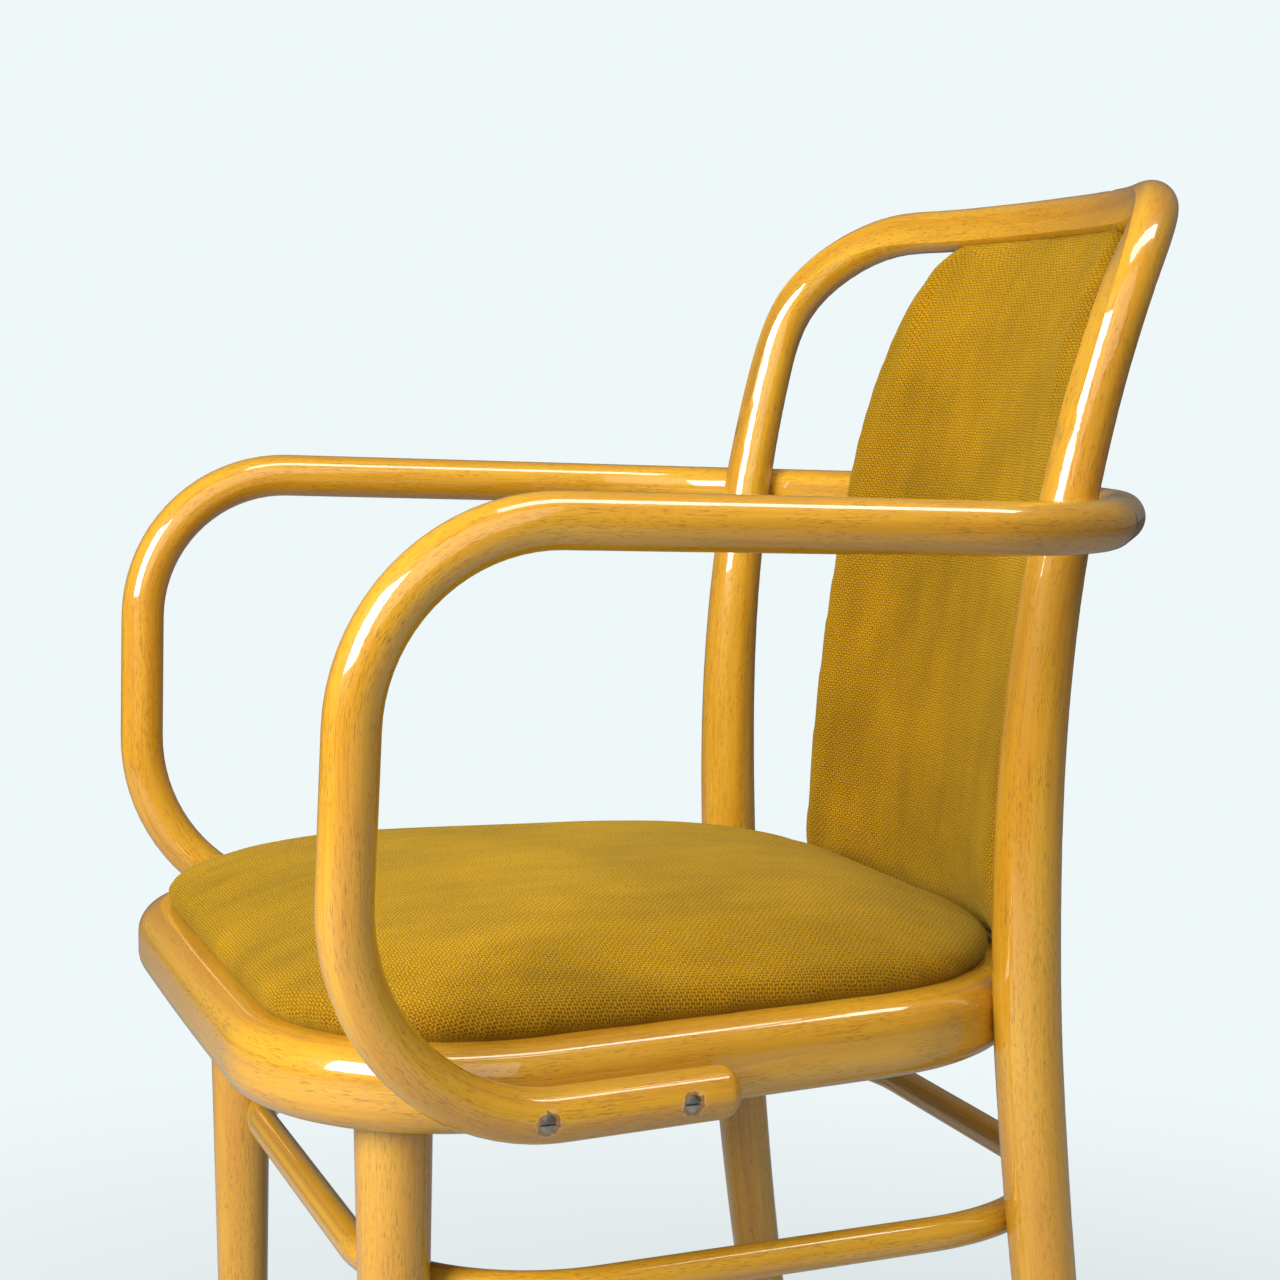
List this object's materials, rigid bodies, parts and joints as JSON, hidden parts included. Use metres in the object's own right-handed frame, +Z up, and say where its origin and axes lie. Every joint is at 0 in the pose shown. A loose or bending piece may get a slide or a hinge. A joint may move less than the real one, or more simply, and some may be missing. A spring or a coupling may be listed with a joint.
{
  "type": "bentwood armchair",
  "caption": "Bentwood armchair with round bent rods for back, arms and stretcher, a rounded seat ring, a domed woven seat pad and a thin padded back.",
  "frame": {"origin": "on the floor under the middle of the chair's overall footprint", "axes": "+Z up, the sitter faces -Y, the sitter's left is +X"},
  "size_m": [0.553, 0.5217, 0.8227],
  "materials": {
    "lacquered_beech": "honey lacquer, glossy",
    "bare_wood": "bare, sanded",
    "plywood": "bare plywood",
    "foam": "soft open foam",
    "woven_cover": "ribbed mustard weave",
    "lining_cloth": "thin black cloth",
    "steel": "dull bright steel",
    "glide_plastic": "matte"
  },
  "bodies": {
    "root": {"seat_ring": "lacquered_beech", "corner_block_left": "bare_wood", "corner_block_right": "bare_wood", "front_leg_left": "lacquered_beech", "front_leg_right": "lacquered_beech", "back_hoop": "lacquered_beech", "arm_hoop": "lacquered_beech", "stretcher_hoop": "lacquered_beech", "seat_lining": "lining_cloth", "seat_board": "plywood", "seat_foam": "foam", "seat_cover": "woven_cover", "back_board": "plywood", "back_foam": "foam", "back_cover": "woven_cover", "back_rear_cover": "woven_cover", "arm_side_screws": "steel", "arm_rear_screws": "steel", "back_arm_screws": "steel", "back_foot_screws": "steel", "leg_screws": "steel", "stretcher_screws": "steel", "seat_screws": "steel", "post_bolts": "steel", "post_washers": "steel", "back_top_dowels": "bare_wood", "foot_glides": "glide_plastic"}
  },
  "joints": []
}
